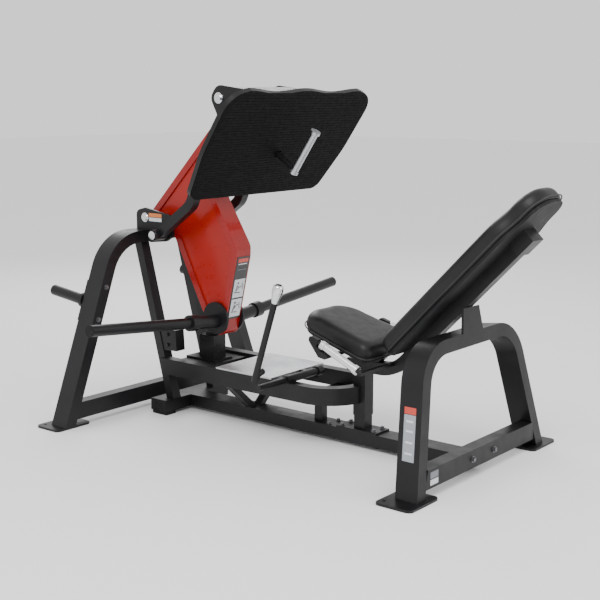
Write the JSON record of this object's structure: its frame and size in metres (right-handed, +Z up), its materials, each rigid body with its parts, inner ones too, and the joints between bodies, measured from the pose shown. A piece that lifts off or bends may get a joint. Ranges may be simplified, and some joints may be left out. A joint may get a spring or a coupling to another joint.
{
  "type": "leg press machine",
  "caption": "Plate-loaded pivoting leg press: reclined seat, parallel-link footplate on a swinging arm with weight horns, stop lever and tube frame.",
  "frame": {"origin": "on the floor, at the middle of the bounding box in X and Y", "axes": "+X towards the seat end, +Y to the left of a seated user's far side, +Z up; the machine's middle is the plane Y = 0"},
  "size_m": [2.3825, 1.6648, 1.5385],
  "materials": {
    "frame_paint": "satin black powder coat",
    "arm_paint": "gloss red paint",
    "rubber": "matt black rubber",
    "vinyl": "black leather-look vinyl",
    "board": "black painted plywood",
    "tread_plate": "raised diamond pattern",
    "chrome": "polished, grips knurled",
    "bolts": "dark zinc",
    "placard": null
  },
  "bodies": {
    "frame": {"rear_arch": "frame_paint", "rear_cross_tube": "frame_paint", "rear_foot_plates": "frame_paint", "inner_upright_left": "frame_paint", "inner_upright_right": "frame_paint", "floor_tube": "frame_paint", "floor_tube_pads": "rubber", "main_beam": "frame_paint", "seat_arch": "frame_paint", "seat_cross_tube": "frame_paint", "seat_foot_plates": "frame_paint", "platform_rails": "frame_paint", "checker_plate": "tread_plate", "platform_struts": "frame_paint", "rail_support_post": "frame_paint", "platform_crossbars": "frame_paint", "pivot_plate_left": "frame_paint", "pivot_plate_right": "frame_paint", "stop_post": "frame_paint", "stop_bumper": "rubber", "upright_bracket": "frame_paint", "seat_column": "frame_paint", "column_base_plate": "frame_paint", "seat_beam": "frame_paint", "back_support_post": "frame_paint", "back_end_bracket": "frame_paint", "seat_board": "board", "seat_cushion": "vinyl", "back_board": "board", "back_cushion": "vinyl", "handle_brackets": "frame_paint", "seat_mount": "frame_paint", "handle_grips": "chrome", "storage_pegs": "frame_paint", "storage_peg_plates": "frame_paint", "frame_bolts": "bolts", "main_pivot_pin": "chrome", "link_pivot_pin": "chrome", "lever_bearings": "frame_paint"},
    "swing_arm": {"arm_frame": "arm_paint", "arm_panels": "arm_paint", "arm_pivot_hubs": "arm_paint", "arm_cover_discs": "frame_paint", "horn_hub": "frame_paint", "weight_horns": "frame_paint", "horn_collars": "frame_paint", "horn_end_caps": "rubber", "arm_placard": "placard"},
    "footplate": {"footplate_board": "frame_paint", "footplate_tread": "rubber", "footplate_bracket": "frame_paint", "footplate_pivot_pin": "chrome", "link_end_pin": "chrome"},
    "links": {"link_left": "frame_paint", "link_right": "frame_paint"},
    "crank": {"crank_rod": "frame_paint", "crank_grip": "chrome"},
    "stop_lever": {"lever_rod": "frame_paint", "lever_knob": "chrome"}
  },
  "joints": [
    {"name": "arm_swing", "type": "hinge", "parent": "frame", "child": "swing_arm", "pos_m": [-0.87, 0, 0.924], "axis": [0, -1, 0], "range_deg": [0, 23]},
    {"name": "footplate_hinge", "type": "hinge", "parent": "swing_arm", "child": "footplate", "pos_m": [-0.31811, 0, 1.48365], "axis": [0, -1, 0], "range_deg": [-23, 0]},
    {"name": "link_hinge", "type": "hinge", "parent": "frame", "child": "links", "pos_m": [-0.74, 0, 0.854], "axis": [0, -1, 0], "range_deg": [0, 23]},
    {"name": "crank_turn", "type": "hinge", "parent": "footplate", "child": "crank", "pos_m": [-0.1568, 0, 1.24011], "axis": [0.8241, 0, -0.5664], "range_deg": [0, 90]},
    {"name": "stop_lever_turn", "type": "hinge", "parent": "frame", "child": "stop_lever", "pos_m": [0.055, 0, 0.287], "axis": [0, -1, 0], "range_deg": [0, 40]}
  ],
  "couplings": [
    {"joint": "footplate_hinge", "follows": "arm_swing", "ratio": -1},
    {"joint": "link_hinge", "follows": "arm_swing", "ratio": 1}
  ]
}
